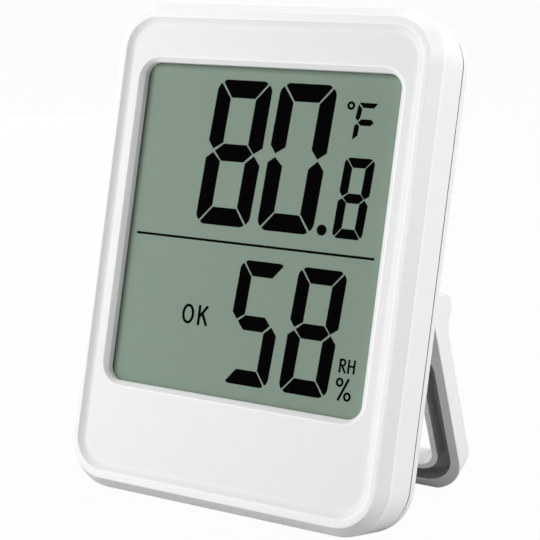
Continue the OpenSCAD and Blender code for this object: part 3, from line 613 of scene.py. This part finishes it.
def foam_cells(shade, place):
    """Black foam with small open cells."""
    cells = shade.make("ShaderNodeTexVoronoi", {"feature": "DISTANCE_TO_EDGE"},
                       {"Vector": place, "Scale": 1 / (foam_cell * MM)})
    cloud = shade.noise(place, 5, 2)
    tone = shade.blend(2.0 * cells, tint(0.055, 0.055, 0.058), tint(0.022, 0.022, 0.024))
    return {"Base Color": tone, "Roughness": 0.82 + 0.12 * cloud, "Normal": shade.bump(cells, 0.12, 0.7)}


def striped_rubber(shade, place):
    """Pink silicone with upright carbon stripes."""
    across, depth, height = case_axes(shade, place)
    carbon = shade.maths("FRACT", across * (1 / stripe_pitch)) > 0.5
    cloud = shade.noise(place, 2, 2)
    silicone = shade.blend(cloud, tint(0.72, 0.46, 0.54), tint(0.80, 0.55, 0.62))
    tone = shade.blend(carbon, silicone, tint(0.03, 0.03, 0.03))
    return {"Base Color": tone, "Roughness": 0.55 + 0.15 * cloud}


foam_finish = finish("foam_cells", foam_cells)
rubber_finish = finish("striped_rubber", striped_rubber)
dress("foam_pad", "display_cushion", soft_edge, foam_finish, "case")
dress("striped_connector", "zebra_strip", soft_edge, rubber_finish, "case")

# Circuit board
# A glass-fibre board under green solder mask, with copper tracks that show through as paler lines
# and tinned through-holes. It carries all the electronics and the battery contacts.
track_pitch = 0.9
hole_pitch = 3.2
hole_size = 0.13
board_edge = 0.06


def solder_mask(shade, place):
    """Green lacquer over wandering copper tracks and tinned holes."""
    across, depth, height = case_axes(shade, place)
    cloud = shade.noise(place, 7, 2)
    weave = shade.noise(place, 0.35, 2)
    lane = shade.maths("FRACT", (across + 2.4 * cloud) * (1 / track_pitch)) < 0.4
    field = shade.noise(place, 11, 0) > 0.48
    track = lane * field
    holes = shade.make("ShaderNodeTexVoronoi", {},
                       {"Vector": place, "Scale": 1 / (hole_pitch * MM), "Randomness": 0.7})
    tinned = holes < hole_size
    mask = shade.blend(0.6 * cloud + 0.4 * weave, tint(0.012, 0.115, 0.045), tint(0.020, 0.150, 0.062))
    green = shade.blend(track, mask, tint(0.060, 0.270, 0.110))
    tone = shade.blend(tinned, green, tint(0.70, 0.70, 0.68))
    return {"Base Color": tone, "Roughness": 0.32 + 0.12 * weave, "Metallic": tinned,
            "Normal": shade.bump(track + 0.3 * weave, 0.02, 0.6)}


board_finish = finish("solder_mask", solder_mask, Specular_IOR_Level=0.5)
dress("green_board", "circuit_board", board_edge, board_finish, "case", 1)

# Electronic parts
# The controller under its drop of black epoxy, a climate sensor with an open face, a crystal in a
# drawn can, two ceramic capacitors with tinned ends and two push switches, all soldered on.
capacitor_middle = -10.2
capacitor_bare = 0.5
switch_face = 7.11


def epoxy_drop(shade, place):
    """Glossy black resin that ran out a little unevenly."""
    flow = shade.noise(place, 3, 3)
    tone = shade.blend(flow, tint(0.010, 0.010, 0.011), tint(0.022, 0.022, 0.023))
    return {"Base Color": tone, "Roughness": 0.16 + 0.22 * flow, "Normal": shade.bump(flow, 0.06, 0.5)}


def sensor_black(shade, place):
    """Speckled black moulding compound."""
    speck = shade.noise(place, 0.18, 2)
    tone = shade.blend(speck, tint(0.018, 0.018, 0.020), tint(0.045, 0.045, 0.048))
    return {"Base Color": tone, "Roughness": 0.5 + 0.2 * speck, "Normal": shade.bump(speck, 0.01, 0.6)}


def tinned_ceramic(shade, place):
    """Brown ceramic between two tinned ends."""
    across, depth, height = case_axes(shade, place)
    cap = shade.maths("ABSOLUTE", across - capacitor_middle) > capacitor_bare
    grain = shade.noise(place, 0.25, 2)
    body = shade.blend(grain, tint(0.42, 0.31, 0.19), tint(0.55, 0.42, 0.27))
    return {"Base Color": shade.blend(cap, body, tint(0.74, 0.73, 0.70)), "Metallic": cap,
            "Roughness": 0.35 + 0.2 * grain}


def switch_can(shade, place):
    """A bright steel can with a black plunger."""
    across, depth, height = case_axes(shade, place)
    plunger = depth > switch_face
    scuff = shade.noise(place, 0.4, 3)
    tone = shade.blend(plunger, tint(0.70, 0.70, 0.70), tint(0.02, 0.02, 0.02))
    return {"Base Color": tone, "Metallic": 1 - plunger, "Roughness": 0.28 + 0.25 * scuff}


def plated_steel(shade, place):
    """Zinc or nickel on steel, with drawing lines and a few stains."""
    drawn = shade.make("ShaderNodeMapping", {}, {"Vector": place, "Scale": (1, 1, 0.08)})
    scratch = shade.noise(drawn, 0.2, 3)
    stain = shade.noise(place, 3, 3)
    tone = shade.blend(0.6 * stain + 0.4 * scratch, tint(0.60, 0.60, 0.61), tint(0.80, 0.80, 0.79))
    return {"Base Color": tone, "Roughness": 0.20 + 0.22 * scratch,
            "Normal": shade.bump(scratch, 0.004, 0.6)}


epoxy_finish = finish("epoxy_drop", epoxy_drop, Specular_IOR_Level=0.5)
sensor_finish = finish("sensor_black", sensor_black)
ceramic_finish = finish("tinned_ceramic", tinned_ceramic)
switch_finish = finish("switch_can", switch_can)
steel_finish = finish("plated_steel", plated_steel, Metallic=1.0)
dress("epoxy_drop", "controller_blob", 0.1, epoxy_finish, "case")
dress("sensor_chip", "climate_sensor", 0.08, sensor_finish, "case")
dress("crystal", "crystal_can", 0.12, steel_finish, "case")
dress("capacitors", "chip_capacitors", 0.06, ceramic_finish, "case")
dress("push_switches", "tact_switches", 0.08, switch_finish, "case")

# Screws
# Small self-tapping screws of zinc-plated steel: four hold the board on its posts,
# and four longer ones reach from deep bores in the back into the posts of the front housing.
screw_edge = 0.06
dress("board_fixings", "board_screws", screw_edge, steel_finish, "case")
dress("case_fixings", "housing_screws", screw_edge, steel_finish, "case")

# Back cover
# The rear half of the case in the same white plastic, with the raised battery box, vents, a keyhole for
# a wall screw, two button holes and two ears for the stand's pivots. It meets the front half in the seam,
# so its front edge is drawn back to there.
cover_start = 9.62
cover_edge = 0.14
cover = merged("back_cover")
to_case = case_pose.inverted()
front_edge = [vert for vert in cover.verts if abs((to_case @ vert.co).y - cover_start) < 0.02]
backwards = case_pose.to_3x3() @ Vector((0, seam_back - cover_start, 0))
bmesh.ops.translate(cover, vec=backwards, verts=front_edge)
soften(cover, cover_edge * MM)
stand_in("rear_shell", cover, shell_white, "case", ["back_cover"], still)

# Battery cell
# One AAA cell: a drawn steel can in a printed plastic jacket that is shrunk over both rims,
# with the raised cap at the positive end. It lies across the box between its two contacts.
cell_depth = 12.35
cell_level = 52.0
cell_rounds = 72
cell_edge = 0.08
rim_angle = 25
jacket_left = -20.55
jacket_right = 22.1
jacket_split = 11.5
stripe_half = 0.45
# The half section from the flat end to the cap, as places across and radii
cell_profile = [(-20.9, 0), (-20.9, 3.9), (-20.6, 4.1), (-20.6, 4.55), (-20.85, 4.8), (-20.5, 5.2),
                (22.0, 5.2), (22.4, 4.9), (22.45, 4.4), (22.2, 4.1), (22.2, 2.15), (22.4, 1.95),
                (23.4, 1.9), (23.6, 1.65), (23.6, 0)]


def printed_jacket(shade, place):
    """A dark print with a pale ring and a copper end, and bare steel at both ends."""
    across, depth, height = case_axes(shade, place)
    bare = (across > jacket_right) + (across < jacket_left)
    copper = across > jacket_split
    ring = shade.maths("ABSOLUTE", across - jacket_split) < stripe_half
    rub = shade.noise(place, 1.4, 4)
    dark_print = shade.blend(rub, tint(0.016, 0.024, 0.034), tint(0.026, 0.036, 0.048))
    gold = shade.blend(rub, tint(0.44, 0.27, 0.10), tint(0.52, 0.33, 0.14))
    jacket = shade.blend(ring, shade.blend(copper, dark_print, gold), tint(0.75, 0.74, 0.70))
    return {"Base Color": shade.blend(bare, jacket, tint(0.72, 0.72, 0.72)), "Metallic": bare,
            "Roughness": 0.24 + 0.16 * rub}


cell = bmesh.new()
cell_points = [cell.verts.new((across, cell_depth, cell_level + radius)) for across, radius in cell_profile]
cell_edges = [cell.edges.new(pair) for pair in zip(cell_points, cell_points[1:])]
bmesh.ops.spin(cell, geom=cell_points + cell_edges, axis=(1, 0, 0), cent=(0, cell_depth, cell_level),
               dvec=(0, 0, 0), angle=2 * pi, steps=cell_rounds, use_merge=True)
bmesh.ops.remove_doubles(cell, verts=cell.verts, dist=0.001)
bmesh.ops.recalc_face_normals(cell, faces=cell.faces)
rims = [edge for edge in cell.edges if edge.calc_face_angle(0) > radians(rim_angle)]
round_edges(cell, rims, cell_edge, 2)
jacket_finish = finish("printed_jacket", printed_jacket, Specular_IOR_Level=0.5)
stand_in("aaa_cell", cell, jacket_finish, "case", ["battery_cell"])

# Battery contacts
# Two springy strips of nickel-plated steel soldered to the board: a flat one at the positive end,
# and one that ends in a coil spring at the negative end.
dress("flat_contact", "positive_contact", 0.08, steel_finish, "case")
dress("coil_contact", "negative_spring", 0.06, steel_finish, "case")

# Battery door
# A thin moulding of the same white plastic over the battery bay. It slides off to the side on two
# rails of the back cover, and raised ridges give the thumb a grip.
dress("door_panel", "battery_door", 0.12, shell_white, "door")

# Buttons
# Two round caps of pale grey plastic in holes of the back cover, one for the unit and one for the
# memory. A stem on each presses its switch on the board.
key_edge = 0.2


def moulded_grey(shade, place):
    """Pale grey with a faint cloud and a fine grain."""
    cloud = shade.noise(place, 5, 3)
    grain = shade.noise(place, 0.2, 3)
    tone = shade.blend(cloud, tint(0.50, 0.50, 0.51), tint(0.56, 0.56, 0.57))
    return {"Base Color": tone, "Roughness": 0.42 + 0.14 * grain, "Normal": shade.bump(grain, 0.006, 0.6)}


key_finish = finish("moulded_grey", moulded_grey, Specular_IOR_Level=0.45)
dress("unit_cap", "unit_button", key_edge, key_finish, "unit_key", 3)
dress("memory_cap", "memory_button", key_edge, key_finish, "memory_key", 3)

# Magnets
# Two nickel-plated discs set in pockets behind the flat upper part of the battery box,
# so that the case also holds on a steel door.
magnet_edge = 0.2


def bright_nickel(shade, place):
    """Warm bright plating with a slight haze."""
    haze = shade.noise(place, 2.5, 3)
    tone = shade.blend(haze, tint(0.66, 0.63, 0.57), tint(0.76, 0.73, 0.67))
    return {"Base Color": tone, "Roughness": 0.14 + 0.16 * haze}


nickel_finish = finish("bright_nickel", bright_nickel, Metallic=1.0)
dress("magnet_discs", "magnets", magnet_edge, nickel_finish, "case")

# Stand
# A folding frame of the same white plastic: an outer skirt and an inner loop joined by a thin web, so
# that it is a channel in section. Two studs turn in the ears of the back cover. The faces of the channel
# carry painted shade, and the front of the rim a lighter painted shade, because the photograph shows them
# darker than the lamps alone make them.
open_turn = radians(38.2)
rim_front = -4.15
channel_floor = -1.15
channel_middle = -19.475
skirt_inside = (27.6, 14.875, 5.8)
loop_outside = (25.4, 12.675, 4.0)
wall_front = -3.85
wall_back = -1.1
wall_play = 0.25
level_play = 0.15
rim_play = 0.1
# Share of the painted shade given to the front of the rim
rim_painted_shade = 0.25
stand_edge = 0.18
stand_pose = case_pose @ Matrix.Translation(hinge_spot) @ Matrix.Rotation(open_turn, 4, "X")
loop = merged("stand_frame")
bmesh.ops.transform(loop, matrix=stand_pose.inverted(), verts=loop.verts)


def off_outline(spot, half_w, half_h, corner):
    """How far a point lies outside a rounded rectangle round the channel's middle; below zero is inside."""
    across = max(abs(spot.x) - half_w + corner, 0)
    along = max(abs(spot.z - channel_middle) - half_h + corner, 0)
    return hypot(across, along) - corner


# Painted shade: full on the walls and the web of the channel, a smaller share on the front of the rim
stand_painted_shade = loop.faces.layers.float.get("painted_shade")
for face in loop.faces:
    spot = face.calc_center_median()
    to_front = face.normal.y < -0.9
    inside_skirt = off_outline(spot, *skirt_inside) < wall_play
    outside_loop = off_outline(spot, *loop_outside) > -wall_play
    wall = wall_front < spot.y < wall_back and inside_skirt and outside_loop
    web = to_front and abs(spot.y - channel_floor) < level_play
    outside_channel = all(off_outline(vert.co, *skirt_inside) > -rim_play for vert in face.verts)
    rim = to_front and abs(spot.y - rim_front) < level_play and outside_channel
    face[stand_painted_shade] = 1.0 if wall or web else rim_painted_shade if rim else 0.0
soften(loop, stand_edge, 3)

knuckle_radius = 2.7
knuckle_inside = 24.32
knuckle_wide = 4.96
leg_back = 0.05
fillet_radius = 4.0
fillet_steps = 10
fillet_y = leg_back + fillet_radius
fillet_z = -sqrt((knuckle_radius + fillet_radius) ** 2 - fillet_y ** 2)
fillet_start = atan2(-fillet_z, -fillet_y)
in_leg = (-0.6, fillet_z)
in_knuckle = (0.0, -1.0)
for side in (-1, 1):
    bend = [in_leg, in_knuckle]
    for step in range(fillet_steps + 1):
        turn = fillet_start + (pi - fillet_start) * step / fillet_steps
        bend.append((fillet_y + fillet_radius * cos(turn), fillet_z + fillet_radius * sin(turn)))
    wedge = loop.faces.new([loop.verts.new((side * knuckle_inside, y, z)) for y, z in bend])
    made = bmesh.ops.extrude_face_region(loop, geom=[wedge])
    moved = [item for item in made["geom"] if isinstance(item, bmesh.types.BMVert)]
    bmesh.ops.translate(loop, vec=(side * knuckle_wide, 0, 0), verts=moved)
bmesh.ops.recalc_face_normals(loop, faces=loop.faces)
stand_in("stand_loop", loop, shell_white, "stand", ["stand_frame"], stand_pose)

# Floor and light
# A pale table top under a white sky, which the camera and the glossy faces see as white, and five oval
# soft lamps: a broad one in front at the left, a weak one in front at the right, one at the right,
# one overhead and one behind at the left.
floor_reach = 3
floor_tone = tint(0.44, 0.44, 0.44)
floor_white = 0.97
ambient = 0.03
lamp_aim = Vector((0, 0, 0.04))
floor = bpy.data.meshes.new("table_top")
flat = bmesh.new()
bmesh.ops.create_grid(flat, x_segments=1, y_segments=1, size=floor_reach)
flat.to_mesh(floor)
flat.free()
table = bpy.data.objects.new("table_top", floor)
bpy.context.scene.collection.objects.link(table)
table_white = bpy.data.materials.new("table_white")
table_white.use_nodes = True
tree = table_white.node_tree
shine = tree.nodes.new("ShaderNodeEmission")
shine.inputs["Strength"].default_value = 1.0
floor_ray = tree.nodes.new("ShaderNodeLightPath")
mix = tree.nodes.new("ShaderNodeMixShader")
matt = tree.nodes["Principled BSDF"]
matt.inputs["Base Color"].default_value = floor_tone
matt.inputs["Roughness"].default_value = 0.9
show = Shade(tree, floor_ray.outputs["Is Camera Ray"]) * floor_white
tree.links.new(show.socket, mix.inputs["Fac"])
tree.links.new(matt.outputs["BSDF"], mix.inputs[1])
tree.links.new(shine.outputs["Emission"], mix.inputs[2])
tree.links.new(mix.outputs["Shader"], tree.nodes["Material Output"].inputs["Surface"])
floor.materials.append(table_white)

world = bpy.data.worlds.new("studio")
world.use_nodes = True
sky = world.node_tree.nodes["Background"]
sky_ray = world.node_tree.nodes.new("ShaderNodeLightPath")
seen = Shade(world.node_tree, sky_ray.outputs["Is Camera Ray"])
glint = Shade(world.node_tree, sky_ray.outputs["Is Glossy Ray"])
through = Shade(world.node_tree, sky_ray.outputs["Is Transmission Ray"])
shown = seen.maths("MAXIMUM", seen, seen.maths("MAXIMUM", glint, through))
strength = ambient + (1 - ambient) * shown
world.node_tree.links.new(strength.socket, sky.inputs["Strength"])
sky.inputs["Color"].default_value = tint(1, 1, 1)
bpy.context.scene.world = world


def lamp(name, place, wide, high, watts):
    """A soft oval lamp turned to the middle of the case."""
    light = bpy.data.lights.new(name, "AREA")
    light.shape = "ELLIPSE"
    light.size = wide
    light.size_y = high
    light.energy = watts
    holder = bpy.data.objects.new(name, light)
    holder.location = place
    holder.rotation_euler = (lamp_aim - Vector(place)).to_track_quat("-Z", "Y").to_euler()
    bpy.context.scene.collection.objects.link(holder)


lamp("key_lamp", (-0.31, -0.375, 0.16), 0.56, 0.28, 2.27)
lamp("fill_lamp", (0.28, -0.42, 0.12), 0.30, 0.30, 0.20)
lamp("right_lamp", (0.53, 0.135, 0.27), 0.32, 0.20, 2.55)
lamp("top_lamp", (0.0, 0.19, 0.65), 0.36, 0.36, 2.25)
lamp("back_lamp", (-0.42, 0.42, 0.16), 0.30, 0.30, 0.65)
